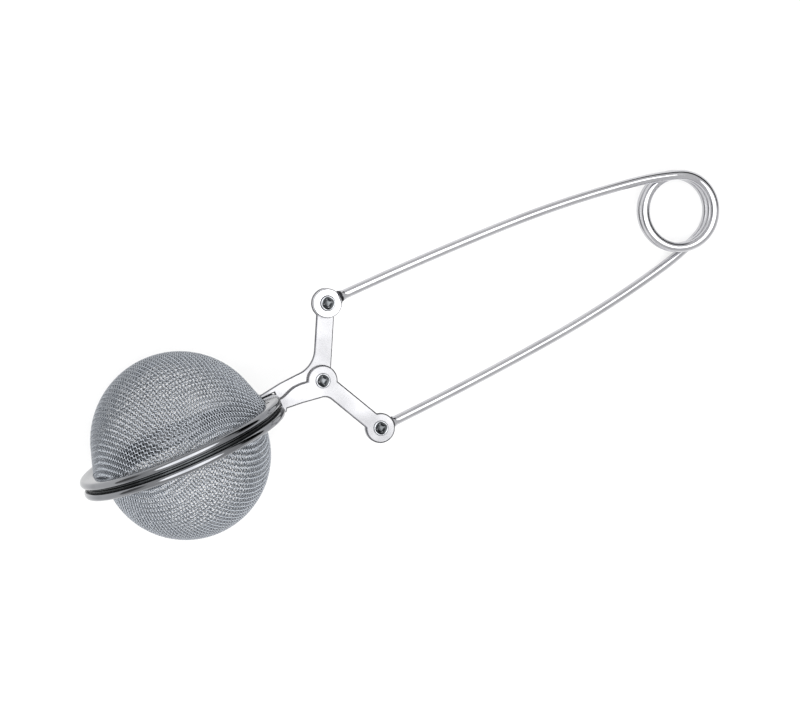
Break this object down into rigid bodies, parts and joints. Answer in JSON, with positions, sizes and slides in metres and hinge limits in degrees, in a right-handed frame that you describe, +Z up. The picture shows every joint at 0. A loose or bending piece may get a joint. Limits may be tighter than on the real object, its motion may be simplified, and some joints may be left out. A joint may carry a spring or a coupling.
{
  "type": "tea infuser",
  "caption": "Mesh ball tea infuser on pivoted sheet levers with a coiled spring wire handle; squeezing the handle swings the two halves of the ball apart.",
  "frame": {"origin": "middle of the object's footprint at the height of the table it lies on", "axes": "+Z up with the object lying on its rims and coil, +X along the handle from the ball to the coil, +Y from the lower half of the ball to the upper half"},
  "size_m": [0.1732, 0.0456, 0.0521],
  "materials": {
    "wire_cloth": "woven bright stainless wire cloth",
    "rim_sheet": "polished stainless sheet",
    "lever_sheet": "tumble-polished stainless sheet",
    "spring_wire": "bright drawn stainless wire",
    "rivet_steel": "bright stainless, dark in the recess"
  },
  "bodies": {
    "lower_leg": {"lower_leg": "spring_wire", "spring_coil": "spring_wire"},
    "lower_jaw": {"lower_lever": "lever_sheet", "lower_rim": "rim_sheet", "lower_mesh": "wire_cloth", "pivot_rivet": "rivet_steel", "lower_rivet": "rivet_steel"},
    "upper_jaw": {"upper_lever": "lever_sheet", "upper_rim": "rim_sheet", "upper_mesh": "wire_cloth", "upper_rivet": "rivet_steel"},
    "upper_leg": {"upper_leg": "spring_wire"}
  },
  "joints": [
    {"name": "jaw_pivot", "type": "hinge", "parent": "lower_jaw", "child": "upper_jaw", "pos_m": [-0.02302, -0.00032, 0.02031], "axis": [-0.1514, 0, -0.9885], "range_deg": [0, 60], "stiffness_Nm_per_rad": 0.2, "springref_deg": -20.05},
    {"name": "lower_eye_pivot", "type": "hinge", "parent": "lower_leg", "child": "lower_jaw", "pos_m": [-0.01448, -0.01691, 0.019], "axis": [0.1514, 0, 0.9885], "range_deg": [0, 34]},
    {"name": "leg_flex", "type": "hinge", "parent": "lower_leg", "child": "upper_leg", "pos_m": [0.07612, -0.00032, 0.00512], "axis": [0.1514, 0, 0.9885], "range_deg": [0, 7.8], "deforming": ["spring_coil"]}
  ],
  "couplings": [
    {"joint": "lower_eye_pivot", "follows": "jaw_pivot", "ratio": 0.5643},
    {"joint": "leg_flex", "follows": "jaw_pivot", "ratio": 0.1286}
  ]
}
